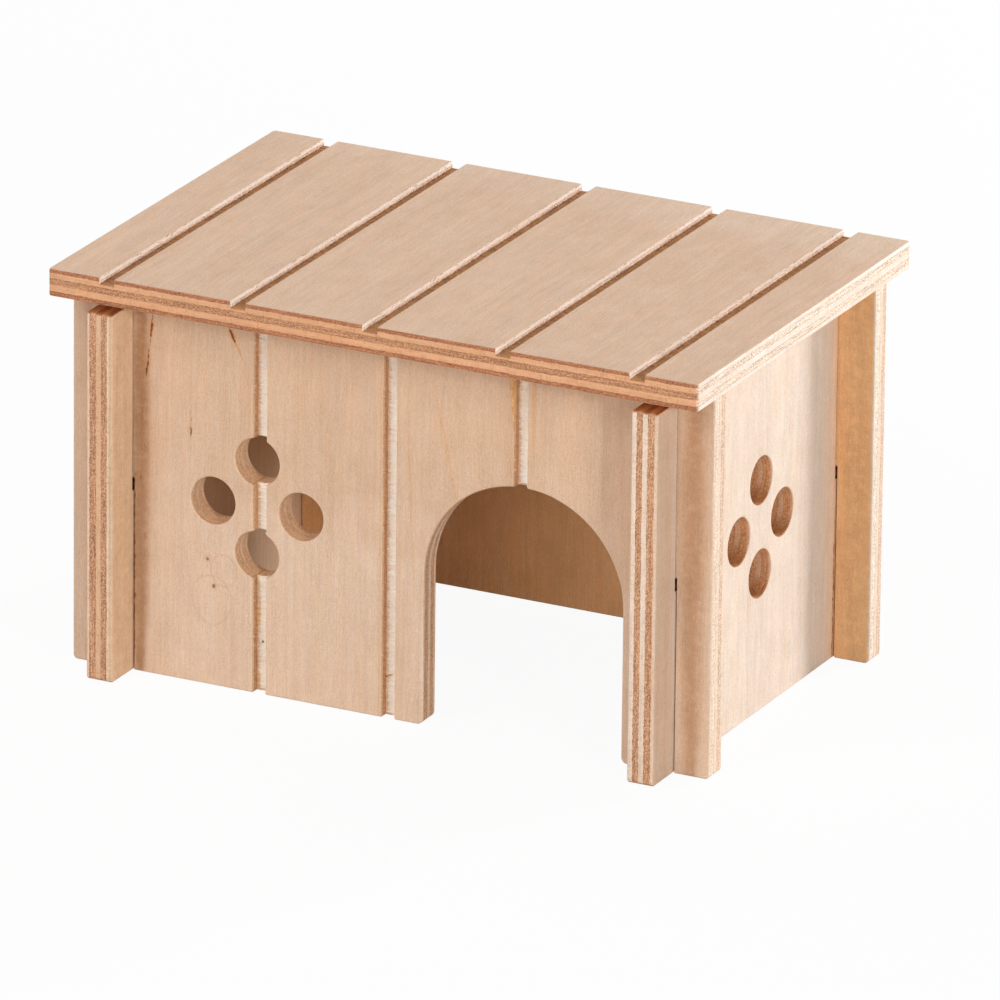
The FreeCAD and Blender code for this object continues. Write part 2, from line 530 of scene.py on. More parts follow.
    def end_colour(self, graph: Graph, lie: Lie) -> bpy.types.NodeSocket:
        """Each ply's plain colour where it is cut across its grain.

        Args:
            graph: the material's nodes.
            lie: where the surface lies.

        Returns:
            The colour.
        """
        second, fourth = lie.second, lie.fourth
        colour = graph.blend(lie.middle, linear(self.sheet.end), linear(self.sheet.middle_end))
        colour = graph.blend(second + fourth, colour, linear(self.sheet.core_end))
        if self.pale_beyond is not None:
            most, less = (fourth, second) if self.pale_fourth else (second, fourth)
            past = lie.across.rise(self.pale_beyond, self.pale_beyond + 1.0)
            pale = past * (most * 0.9 + less * 0.45)
            colour = graph.blend(pale, colour, linear(self.sheet.edge))
        return colour

    def torn_ends(self, graph: Graph, lie: Lie) -> tuple[bpy.types.NodeSocket, Signal]:
        """The pattern of cut fibre ends, as a tint.

        The vessels are dark dots at scattered points, and torn fibre ends between them are
        pale. Both lie in faint rings along the ply.

        Args:
            graph: the material's nodes.
            lie: where the surface lies.

        Returns:
            What a colour is multiplied by, and the relief.
        """
        run, side, depth, own = lie.run, lie.side, lie.depth, lie.own
        rings = graph.noise((side * 0.12, depth * 2.8, own), 3.0, 0.65)
        speck = graph.cells((side * 3.3, depth * 3.5, run * 0.9 + own))
        fuzz = graph.noise((side * 2.3, depth * 2.9, run * 1.6 + own), 3.0, 0.8)
        dots = speck.rise(0.42, 0.16) * (0.3 + fuzz.rise(0.35, 0.6) * 0.7)
        tone = 0.56 + ((fuzz - 0.5) * 2.7 + (rings - 0.5) * 1.2) * self.speckle
        grain = graph.blend(tone.held(), plain(0.52, 0.44, 0.38), plain(1.5, 1.6, 1.7))
        share = (dots * 0.85 * self.speckle).held()
        return graph.tint(share, grain, plain(0.50, 0.37, 0.29)), tone * 0.8 - dots * 0.4

    def marks(self, graph: Graph, lie: Lie, colour: bpy.types.NodeSocket,
              relief: Signal) -> tuple[bpy.types.NodeSocket, Signal]:
        """Adds the streaks and knots of the outer face and the tinted stripes of both faces, among
        them painted light and painted shade.

        A streak is darkest on a line, and its width falls to nothing at both ends as
        1 - t * t, where t goes from -1 to 1 along it; noise breaks it up. A tinted stripe, the
        wood's own tint or painted light or shade, has the same outline and soft borders. A knot
        is a dark core with a faint ring, both longer along the grain.

        Args:
            graph: the material's nodes.
            lie: where the surface lies.
            colour: colour so far.
            relief: relief so far.

        Returns:
            Colour and relief.
        """
        if not (self.streaks or self.stains_and_painted_light or self.knots):
            return colour, relief
        along, across, depth = lie.along, lie.across, lie.depth
        outside, inside = depth.rise(0.9, 0.5), depth.rise(5.1, 5.5)
        wander = graph.noise((along * 0.5, across * 0.3, self.seed + 4.0), 3.0) - 0.5
        broken = graph.noise((along * 0.55, across * 0.4, self.seed + 8.0), 3.0, 0.6)
        # Tinted stripes; some of them are painted light and painted shade.
        for stained_stripe in self.stains_and_painted_light:
            off = self.from_line(along, across, stained_stripe, wander)
            where = inside if stained_stripe.inside else outside
            wash = (1.0 - off).rise(0.0, 0.9) * where * (0.4 + broken * 1.2)
            colour = graph.tint((wash * stained_stripe.depth).held(), colour, plain(*stained_stripe.tint))
        gaps = (broken - 0.5) * 5.0
        for streak in self.streaks:
            off = self.from_line(along, across, streak, wander)
            core = (0.85 + gaps - off).rise(0.0, 0.6) * off.rise(1.6, 0.9) * outside
            halo = off.rise(4.0, 0.5) * outside
            colour = graph.tint(halo * 0.5 * streak.depth, colour, plain(0.96, 0.74, 0.46))
            colour = graph.tint(core * streak.depth, colour, plain(0.42, 0.18, 0.06))
            relief = relief - core * 0.6
        for knot in self.knots:
            reach = self.from_point(along, across, knot.along, knot.across) + wander * knot.radius
            core = reach.rise(knot.radius, knot.radius * 0.4) * outside
            halo = reach.rise(knot.radius * 3.5, knot.radius) * outside
            colour = graph.tint(halo * 0.35 * knot.depth, colour, plain(0.88, 0.72, 0.54))
            colour = graph.tint(core * knot.depth, colour, plain(0.42, 0.24, 0.14))
            relief = relief - core * 0.5
            if knot.ring:
                reach = self.from_point(along, across, knot.ring_along, knot.ring_across)
                ring = abs(reach + wander * 0.8 - knot.ring).rise(0.35, 0.0) * outside
                colour = graph.tint(ring * 0.3, colour, plain(0.8, 0.66, 0.54))
        return colour, relief

    @staticmethod
    def from_line(along: Signal, across: Signal, mark: Mark, wander: Signal) -> Signal:
        """How far a point is from a mark's middle line, where 1 is on its border.

        The half width at t is width / 2 times 1 - t * t, where t goes from -1 to 1.
        """
        step = (along - mark.along) / (mark.length / 2)
        taper = (1.0 - step * step).then("MAXIMUM", 0.02)
        middle = (along - mark.along) * mark.lean + mark.across + wander * 0.7
        return abs(across - middle) / (taper * (mark.width / 2))

    @staticmethod
    def from_point(along: Signal, across: Signal, up: float, over: float) -> Signal:
        """Distance from a point of the face, where lengths along the grain count for less."""
        return distance((along - up) * 0.85, across - over)


@dataclass(frozen=True)
class Softwood:
    """A planed softwood strip that runs along X, with rings about a pith outside it."""

    name: str
    pith_mm: tuple[float, float]    # Y and Z of the tree's middle
    ring_mm: float = 1.7
    pale: Shade = (226, 192, 146)
    dark: Shade = (196, 146, 92)
    end: Shade = (178, 130, 82)

    def build(self) -> bpy.types.Material:
        """The strip's material: the distance from the pith gives the rings on every side.

        Returns:
            The material.
        """
        graph = Graph.of_material(self.name)
        place, facing = graph.own_place()
        sway = graph.noise((place[0] * 0.02, place[1] * 0.1, place[2] * 0.1), 2.0) - 0.5
        reach = distance(place[1] - self.pith_mm[0], place[2] - self.pith_mm[1]) + sway * 3.0
        lie = (reach / self.ring_mm).then("FRACT")
        late = lie.rise(0.35, 0.9) * lie.rise(1.0, 0.93)
        fibre = graph.noise((place[0] * 0.12, place[1] * 4.0, place[2] * 4.0), 3.0, 0.6)
        fleck = graph.noise((place[0] * 0.6, place[1] * 2.5, place[2] * 2.5), 2.0, 0.6)
        colour = graph.blend(late * 0.85, linear(self.pale), linear(self.dark))
        grain = graph.blend(fibre, plain(0.84, 0.8, 0.74), plain(1.14, 1.17, 1.2))
        colour = graph.tint(1.0, colour, grain)
        cut_end = abs(facing[0]).rise(0.4, 0.9)
        end_colour = graph.tint(late, linear(self.end), plain(0.7, 0.6, 0.5))
        colour = graph.blend(cut_end, colour, end_colour)
        relief = 0.4 + (fibre - 0.5) * 0.7 + (fleck - 0.5) * 0.3 + late * 0.25
        return graph.surface(colour, 0.62 - late * 0.08, relief, relief_mm=0.05)


@dataclass(frozen=True)
class Spot:
    """A small oval mark on the front of the house, in millimetres."""

    x: float
    z: float
    half_x: float
    half_z: float
    tint: Shade                 # what the wood's light is multiplied by
    rise: float = 0.0           # how much it climbs for each unit to the right


@dataclass(frozen=True)
class TornGrain:
    """Short fibres torn up by the cutter on the floor of a groove."""

    name: str
    run: Way                    # the way the torn fibres lie
    light: Shade = (255, 252, 244)
    dark: Shade = (248, 224, 198)
    seed: float = 0.0
    spots: tuple[Spot, ...] = ()
    pitch: float = 30.2         # between grooves, one of which is on X 0
    shaded_to: Optional[float] = None   # left of here, from a groove's middle, it carries a painted shadow of the groove's left wall

    def build(self) -> bpy.types.Material:
        """The material: fine lines along the fibres, darker between them, the spots, and a painted
        shadow of the groove's left wall over the floor's left part where shaded_to is given.

        A spot is an oval, where the distance from its middle is the root of the squares of
        the two distances, each over its own half width.

        Returns:
            The material.
        """
        graph = Graph.of_material(self.name)
        place, _ = graph.own_place()
        scale = [3.4, 3.4, 3.4]
        scale[self.run.value] = 0.5
        spread = [axis * factor for axis, factor in zip(place, scale)]
        line = graph.noise(spread, 4.0, 0.65)
        patch = graph.noise((place[0] * 0.25, place[1] * 0.25, place[2] * 0.25 + self.seed), 2.0)
        tuft = graph.noise((place[0] * 1.6, place[1] * 1.6, place[2] * 1.6 + self.seed), 3.0, 0.7)
        tone = 0.54 + (line - 0.5) * 2.0 + (patch - 0.5) * 0.8 + (tuft - 0.5) * 1.4
        colour = graph.blend(tone.held(), linear(self.dark), linear(self.light))
        # Painted shadow of the groove's left wall on the floor's left part.
        if self.shaded_to is not None:
            over = from_groove(place[0], self.pitch)
            ragged = over + (line - 0.5) * 1.6 + (tuft - 0.5) * 0.8
            painted_wall_shadow = ragged.rise(self.shaded_to + 0.35, self.shaded_to - 0.35)
            colour = graph.tint(painted_wall_shadow * 0.9, colour, plain(0.80, 0.66, 0.52))
        for spot in self.spots:
            over = place[0] - spot.x
            up = place[2] - spot.z - over * spot.rise
            reach = distance(over / spot.half_x, up / spot.half_z) + (tuft - 0.5) * 1.2
            colour = graph.tint(reach.rise(1.2, 0.5), colour, plain(*spot.tint))
        return graph.surface(colour, 0.8, line, relief_mm=0.08, shine=0.2)


# Surfaces -----------------------------------------------------------------------------------


def add_piece(name: str, points: np.ndarray, faces: np.ndarray, material: bpy.types.Material,
              body: Body, smooth: bool = True) -> bpy.types.Object:
    """Puts a mesh in the scene and lets it ride on its body.

    Args:
        name: the piece's name.
        points: corners in metres, one row each.
        faces: quads, one row each; a row whose last two numbers agree is a triangle.
        material: its finish.
        body: what it moves with.
        smooth: whether faces shade into each other.

    Returns:
        The object.
    """
    rows = [tuple(row) if row[2] != row[3] else tuple(row[:3]) for row in faces.tolist()]
    mesh = bpy.data.meshes.new(name)
    mesh.from_pydata(points.astype(float), [], rows)
    mesh.polygons.foreach_set("use_smooth", np.full(len(rows), smooth))
    mesh.materials.append(material)
    mesh.update()
    piece = bpy.data.objects.new(name, mesh)
    bpy.context.scene.collection.objects.link(piece)
    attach(piece, body.value)
    log.info("%s: %d faces", name, len(rows))
    return piece


def soft_noise(rng: np.random.Generator, shape: tuple[int, int],
               reach: tuple[float, float]) -> np.ndarray:
    """A smooth random field: white noise, blurred by a bell curve of the given reach each way.

    Args:
        rng: source of the random numbers.
        shape: rows and columns.
        reach: the bell curve's width in rows and in columns.

    Returns:
        A field with a mean of 0 and a spread of 1.
    """
    grid = rng.standard_normal(shape)
    for axis in (0, 1):
        span = math.ceil(reach[axis] * 3)
        bell = np.exp(-0.5 * (np.arange(-span, span + 1) / reach[axis]) ** 2)
        margin = [(0, 0), (0, 0)]
        margin[axis] = (span, span)
        padded = np.pad(grid, margin, "symmetric")
        windows = np.lib.stride_tricks.sliding_window_view(padded, len(bell), axis)
        grid = windows @ (bell / bell.sum())
    return (grid - grid.mean()) / grid.std()


def grid_faces(rows: int, columns: int) -> np.ndarray:
    """Quads of a grid of points whose rows follow each other, turned anticlockwise."""
    corner = (np.arange(rows - 1)[:, None] * columns + np.arange(columns - 1)).ravel()
    return np.stack([corner, corner + 1, corner + columns + 1, corner + columns], 1)


def slab(top: np.ndarray, bottom: np.ndarray) -> tuple[np.ndarray, np.ndarray]:
    """A closed sheet between two grids of points.

    The upper grid's faces turn anticlockwise seen from outside, the lower grid's the other way,
    and a band of quads joins their rims.

    Args:
        top: rows by columns by 3.
        bottom: the same size.

    Returns:
        Points and quads.
    """
    rows, columns = top.shape[:2]
    count = rows * columns
    upper = grid_faces(rows, columns)
    index = np.arange(count).reshape(rows, columns)
    rim = np.concatenate([index[0, :-1], index[:-1, -1], index[-1, :0:-1], index[:0:-1, 0]])
    ahead = np.roll(rim, -1)
    band = np.stack([rim, rim + count, ahead + count, ahead], 1)
    faces = np.concatenate([upper, upper[:, ::-1] + count, band])
    return np.concatenate([top.reshape(-1, 3), bottom.reshape(-1, 3)]), faces


def slivers(roots: np.ndarray, lines: np.ndarray, broad: np.ndarray, width: np.ndarray,
            thick: np.ndarray, bend: np.ndarray) -> tuple[np.ndarray, np.ndarray]:
    """Many thin tapered fibres as one mesh.

    Each has a four-cornered root, a four-cornered middle that is narrower and pushed aside by
    bend, and one tip: corner = root + line * t +- broad * width / 2 +- flat * thick / 2.

    Args:
        roots: where each starts, one row each.
        lines: from its root to its tip.
        broad: unit vector across its width.
        width: width at the root.
        thick: thickness at the root.
        bend: how far its middle is pushed aside, one row each.

    Returns:
        Points and faces.
    """
    count = len(roots)
    flat = np.cross(lines, broad)
    flat /= np.linalg.norm(flat, axis=1, keepdims=True)
    corners = np.array([(-1, -1), (1, -1), (1, 1), (-1, 1)]) / 2
    points = np.zeros((count, 9, 3))
    for ring, (step, share) in enumerate(((0.0, 1.0), (0.55, 0.7))):
        middle = roots + lines * step + bend * ring
        for k, (a, b) in enumerate(corners):
            points[:, ring * 4 + k] = middle + broad * (a * share * width)[:, None] \
                + flat * (b * share * thick)[:, None]
    points[:, 8] = roots + lines
    base = [(0, 3, 2, 1)] + [(k, (k + 1) % 4, (k + 1) % 4 + 4, k + 4) for k in range(4)] \
        + [(k + 4, (k + 1) % 4 + 4, 8, 8) for k in range(4)]
    faces = (np.arange(count) * 9)[:, None, None] + np.array(base)
    return points.reshape(-1, 3), faces.reshape(-1, 4)


def outward(points: np.ndarray, faces: np.ndarray) -> np.ndarray:
    """The faces, all turned round if together they enclose a negative volume."""
    a, b, c, d = (points[faces[:, k]] for k in range(4))
    volume = np.einsum("ij,ij->i", a, np.cross(b, c)) + np.einsum("ij,ij->i", a, np.cross(c, d))
    return faces if volume.sum() > 0 else faces[:, ::-1][:, [2, 3, 0, 1]]


# Boards -------------------------------------------------------------------------------------


@dataclass(frozen=True)
class Groove:
    """A plank groove, cut into a board from its outer face, in millimetres."""

    middle: float               # on X
    width: float
    floor: float                # where its floor lies, on Y or Z
    outward: float              # 1 or -1, from the floor out of the board
    way: Way                    # the way the groove runs, up or deep

    def place(self, across: np.ndarray, along: np.ndarray, height: np.ndarray) -> np.ndarray:
        """Points of the groove in metres.

        Args:
            across: from the groove's middle, on X.
            along: on the way that the groove runs.
            height: out from its floor.

        Returns:
            X, Y and Z in the last column.
        """
        out = self.floor + self.outward * height
        rest = (along, out) if self.way is Way.DEEP else (out, along)
        return np.stack(np.broadcast_arrays(self.middle + across, *rest), -1) * MM

    def bed(self, rng: np.random.Generator, start: Field, stop: Field,
            pitch: float = 0.15, columns: int = 14) -> tuple[np.ndarray, np.ndarray]:
        """The torn floor between two ends.

        The height above the floor is 0.09 plus a field that is long across the groove and
        short along it, so it lies in ridges, plus a finer one, kept from 0.01 to 0.3.

        Args:
            rng: source of the random numbers.
            start: where the floor starts, for each place across it.
            stop: where it stops.
            pitch: size of the grid along the groove.
            columns: points across it.

        Returns:
            Points and faces.
        """
        across = np.linspace(-self.width / 2, self.width / 2, columns)
        low, high = start(across + self.middle), stop(across + self.middle)
        rows = int(np.max(high - low) / pitch) + 2
        step = self.width / (columns - 1)
        ridge = soft_noise(rng, (rows, columns), (0.13 / pitch, 1.4 / step))
        hair = soft_noise(rng, (rows, columns), (0.8, 0.8))
        height = np.clip(0.09 + 0.05 * ridge + 0.03 * hair, 0.01, 0.3)
        along = low + (high - low) * np.linspace(0, 1, rows)[:, None]
        top = self.place(across, along, height)
        bottom = self.place(across, along, np.full_like(height, -0.03))
        return slab(top, bottom)

    def burrs(self, rng: np.random.Generator, spans: Sequence[tuple[float, float]], top: float,
              per_mm: float, length: tuple[float, float], slant: float
              ) -> tuple[np.ndarray, np.ndarray]:
        """Fibres that stand out of the groove's two upper edges.

        Args:
            rng: source of the random numbers.
            spans: stretches of the edge that have them, from and to.
            top: height of the edge above the groove's floor.
            per_mm: how many there are on a millimetre of each edge.
            length: shortest and longest.
            slant: 0 for fibres across the groove, 1 for fibres along it.

        Returns:
            Points and faces.
        """
        along = np.concatenate([rng.uniform(low, high, int((high - low) * per_mm * 2))
                                for low, high in spans])
        count = len(along)
        side = rng.choice([-1.0, 1.0], count)
        roots = self.place(side * (self.width / 2 + 0.03), along,
                           top - rng.uniform(0.02, 0.5, count) ** 2)
        reach = length[0] + (length[1] - length[0]) * rng.random(count) ** 3
        lines = self.place(-side * reach * (1 - slant),
                           reach * (slant * rng.choice([-1.0, 1.0], count)
                                    + 0.25 * rng.standard_normal(count)),
                           reach * (0.12 * rng.standard_normal(count) - 0.1))
        none = np.zeros(1)
        origin = self.place(none, none, none)
        lines = lines - origin
        broad = np.cross(lines, self.place(none, none, np.ones(1)) - origin)
        broad /= np.linalg.norm(broad, axis=1, keepdims=True)
        width = rng.uniform(0.06, 0.16, count) * MM
        thick = rng.uniform(0.04, 0.08, count) * MM
        bend = rng.standard_normal((count, 3)) * 0.03 * MM
        points, faces = slivers(roots, lines, broad, width, thick, bend)
        return points, outward(points, faces)


def same(value: float) -> Field:
    """A rim that lies at one value all across a groove."""
    return lambda across: np.full_like(across, value)


def arc(middle_x: float, middle_z: float, radius: float, side: float) -> Field:
    """A rim on a circle: its height over each x is the middle plus side times the half chord."""
    return lambda x: middle_z + side * np.sqrt(np.maximum(radius ** 2 - (x - middle_x) ** 2, 0))


@dataclass
class FrontWall:
    """The front wall: its plywood, the torn floors and burrs of its grooves, and a splinter."""

    board_face: float = -41.0
    height: float = 83.5
    groove_pitch: float = 30.2
    groove_width: float = 3.2
    groove_depth: float = 2.2
    vent_x: float = -30.9
    vent_height: float = 41.0
    vent_spread: float = 10.3
    vent_radius: float = 5.25
    door_x: float = 31.0
    door_spring: float = 33.3
    door_radius: float = 23.0
    end_gap: float = 0.5        # the torn floors stop this far from the wall's edges and door
    sliver_top: float = 82.6
    sliver_tip: float = 68.4
    sliver_width: float = 1.1
    slot_name: str = "wall_plywood"

    def build(self, nodes: dict[str, bpy.types.Object]) -> None:
        """Dresses the wall and adds its small pieces.

        Args:
            nodes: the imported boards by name.
        """
        dress(nodes["front_wall"], self.plywood().build())
        yellow, dark = (0.98, 0.80, 0.46), (0.30, 0.17, 0.10)
        spots = (
            Spot(-31.2, 16.8, 0.32, 4.0, yellow),
            Spot(-31.2, 2.4, 0.4, 2.3, yellow),
            Spot(-32.4, 11.1, 0.3, 0.4, dark),
            Spot(-30.4, 10.9, 0.3, 0.35, dark),
            Spot(-0.9, 8.7, 1.4, 0.24, (0.62, 0.32, 0.12), 0.47),
        )
        torn = TornGrain("front_groove_fibre", Way.ACROSS, seed=2.0, spots=spots,
                         pitch=self.groove_pitch, shaded_to=-1.0).build()
        low, high = same(self.end_gap), same(self.height - self.end_gap)
        top_vent = self.vent_height + self.vent_spread
        low_vent = self.vent_height - self.vent_spread
        rims = [
            [(low, arc(self.vent_x, low_vent, self.vent_radius, -1)),
             (arc(self.vent_x, low_vent, self.vent_radius, 1),
              arc(self.vent_x, top_vent, self.vent_radius, -1)),
             (arc(self.vent_x, top_vent, self.vent_radius, 1), high)],
            [(low, high)],
            [(arc(self.door_x, self.door_spring, self.door_radius + self.end_gap, 1), high)],
        ]
        rng = np.random.default_rng(11)
        for number, stretches in enumerate(rims):
            groove = self.groove(number)
            points, faces = join([groove.bed(rng, *ends) for ends in stretches])
            add_piece(f"front_groove_floor_{number + 1}", points, faces, torn, Body.WALLS)
            spans = [(float(start(np.array([groove.middle]))[0]),
                      float(stop(np.array([groove.middle]))[0])) for start, stop in stretches]
            points, faces = groove.burrs(rng, spans, self.groove_depth, per_mm=2.2,
                                         length=(0.12, 0.7), slant=0.0)
            add_piece(f"front_groove_burrs_{number + 1}", points, faces, torn, Body.WALLS,
                      smooth=False)
        orange = TornGrain("torn_sliver_wood", Way.UP, light=(238, 188, 128),
                           dark=(184, 118, 60), seed=5.0)
        points, faces = self.sliver(rng)
        add_piece("front_groove_sliver", points, faces, orange.build(), Body.WALLS)

    def sliver(self, rng: np.random.Generator, rows: int = 60,
               columns: int = 8) -> tuple[np.ndarray, np.ndarray]:
        """The strip of veneer that the cutter tore along the last groove's left edge.

        Its width falls from the top to its tip as (1 - t) to the power of 0.8. It curls off
        the wall towards its outer border, and soft noise makes it uneven.

        Args:
            rng: source of the random numbers.
            rows: points along it.
            columns: points across it.

        Returns:
            Points and faces.
        """
        drop = np.linspace(0, 1, rows)[:, None]
        share = np.linspace(1, 0, columns)[None, :]
        width = self.sliver_width * (1 - drop) ** 0.8 + 0.03
        edge = self.groove_pitch - self.groove_width / 2
        x = edge - width * share
        z = self.sliver_top - (self.sliver_top - self.sliver_tip) * drop
        rough = 0.02 * soft_noise(rng, (rows, columns), (2.0, 1.0))
        lift = np.clip(0.06 + 0.1 * share * (1 - drop) + rough, 0.015, 0.25)
        out = np.stack(np.broadcast_arrays(x, self.board_face - lift, z), -1) * MM
        back = np.stack(np.broadcast_arrays(x, self.board_face + 0.04 + 0 * lift, z), -1) * MM
        points, faces = slab(out, back)
        return points, outward(points, faces)

    def groove(self, number: int) -> Groove:
        """One of the three grooves, counted from the left."""
        return Groove((number - 1) * self.groove_pitch, self.groove_width,
                      self.board_face + self.groove_depth, -1, Way.UP)

    def plywood(self) -> Plywood:
        """The wall's plywood, with the marks that the face shows and its painted light and shade.
        """
        sheet = Sheet(face=(213, 183, 158), edge=(230, 206, 184), core_edge=(220, 168, 130),
                      core_end=(208, 162, 126), core_face=(226, 194, 166), bored=(236, 196, 156))
        streaks = (
            Streak(76.6, -55.7, 7.0, 0.6, 0.108, 1.0),
            Streak(69.0, -56.6, 6.4, 0.55, 0.108, 0.9),
            Streak(78.2, -36.8, 3.2, 1.0, -0.51, 1.0),
            Streak(57.4, -46.4, 6.8, 0.22, 0.0, 0.6),
            Streak(55.7, -46.4, 3.0, 0.36, 0.0, 0.9),
            Streak(19.0, -59.62, 52.0, 0.42, 0.0, 1.0),
        )
        stains_and_painted_light = (
            # Painted shade: darker towards the top.
            StainOrPaintedLight(95.0, 0.0, 120.0, 400.0, 0.0, 0.8, (0.95, 0.91, 0.87)),
            # Painted light: paler and cooler towards the bottom.
            StainOrPaintedLight(-10.0, 0.0, 120.0, 400.0, 0.0, 0.8, (1.06, 1.10, 1.14)),
            # Painted shadow of the left tab on the wall right of it.
            StainOrPaintedLight(46.0, -58.2, 130.0, 7.0, 0.0, 1.0, (0.62, 0.49, 0.37)),
            # Painted shade on the wall's end left of the left tab.
            StainOrPaintedLight(46.0, -70.5, 130.0, 7.0, 0.0, 0.35, (0.97, 0.86, 0.83)),
            StainOrPaintedLight(75.8, -35.6, 5.6, 1.1, -0.5, 0.9, (0.98, 0.74, 0.46)),
            StainOrPaintedLight(46.0, 28.15, 200.0, 0.9, 0.0, 0.5, (1.0, 0.84, 0.62)),
            StainOrPaintedLight(46.0, -2.05, 200.0, 0.9, 0.0, 0.6, (1.0, 0.84, 0.62)),
            StainOrPaintedLight(46.0, -32.9, 200.0, 0.6, 0.0, 0.4, (0.98, 0.84, 0.64)),
            StainOrPaintedLight(74.0, 33.2, 26.0, 1.8, 0.0, 0.7),
            StainOrPaintedLight(60.0, 13.5, 34.0, 1.4, -0.22, 0.5),
            StainOrPaintedLight(44.0, 5.2, 46.0, 1.0, -0.05, 0.5),
            # Painted shadow of the right tab on the wall left of it.
            StainOrPaintedLight(56.0, 52.0, 90.0, 12.0, 0.0, 0.3, (0.94, 0.86, 0.84)),
            # Painted shade on the wall's end right of the right tab.
            StainOrPaintedLight(46.0, 70.0, 130.0, 9.0, 0.0, 0.95, (0.76, 0.62, 0.50)),
            StainOrPaintedLight(43.3, -58.1, 0.8, 0.9, 0.0, 0.9, (0.86, 0.5, 0.22)),
        )
        knots = (
            Knot(27.9, -42.4, 0.42, 3.0, 25.8, -38.6, 0.85),
            Knot(22.1, -40.9, 0.5, 4.6, 19.0, -41.4, 0.9),
        )
        vents = Bore(self.vent_height, self.vent_x, self.vent_spread + self.vent_radius)
        return Plywood("front_wall_plywood", sheet, Way.DEEP, Way.UP, Way.ACROSS,
                       self.board_face, 1, 3.0, streaks=streaks, stains_and_painted_light=stains_and_painted_light, knots=knots,
                       pale_beyond=70.0, bore=vents, groove_pitch=self.groove_pitch,
                       groove_width=self.groove_width)


@dataclass
class SideWall:
    """One of the two side walls."""

    node: str
    face: float                 # its outer face on X
    inward: float
    seed: float
    sheet: Sheet
    stains_and_painted_light: tuple[StainOrPaintedLight, ...] = ()
    bore: Optional[Bore] = None
    streaks: tuple[Streak, ...] = ()

    def build(self, nodes: dict[str, bpy.types.Object]) -> None:
        """Dresses the wall.

        Args:
            nodes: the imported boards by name.
        """
        wood = Plywood(f"{self.node}_plywood", self.sheet, Way.ACROSS, Way.UP, Way.DEEP,
                       self.face, self.inward, self.seed, glue_mm=(0.75, 2.2, 3.45, 4.75),
                       streaks=self.streaks, stains_and_painted_light=self.stains_and_painted_light, bore=self.bore, speckle=1.35)
        dress(nodes[self.node], wood.build())


@dataclass
class BackWall:
    """The plain back wall."""

    face: float = 41.0

    def build(self, nodes: dict[str, bpy.types.Object]) -> None:
        """Dresses the wall.

        Args:
            nodes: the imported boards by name.
        """
        # Its inner face is paler and warmer than the outer one, partly painted light for the
        # inside.
        sheet = Sheet(face=(214, 174, 142), inner=(248, 194, 140), edge=(234, 212, 192),
                      core_edge=(218, 166, 126), core_end=(206, 160, 124))
        stains_and_painted_light = (StainOrPaintedLight(40.0, -22.0, 70.0, 2.4, 0.04), StainOrPaintedLight(52.0, 31.0, 90.0, 3.0, -0.03),
                  # Greyer and darker on the inner face of the wall's end beyond the right wall:
                  # painted shade of that corner.
                  StainOrPaintedLight(42.0, 74.0, 240.0, 30.0, 0.0, 1.0, (0.65, 0.67, 0.69), True))
        knots = (Knot(58.0, 14.0, 0.6, 3.4, 55.0, 15.0, 0.8), Knot(21.0, -39.0, 0.4, depth=0.7))
        streaks = (Streak(33.0, -8.0, 9.0, 0.4, 0.06, 0.7), Streak(66.0, 47.0, 6.0, 0.3, 0.0, 0.6))
        wood = Plywood("back_wall_plywood", sheet, Way.DEEP, Way.UP, Way.ACROSS,
                       self.face, -1, 23.0, glue_mm=(0.3, 2.0, 3.25, 4.8), streaks=streaks,
                       stains_and_painted_light=stains_and_painted_light, knots=knots, pale_beyond=70.0, pale_fourth=True)
        dress(nodes["back_wall"], wood.build())


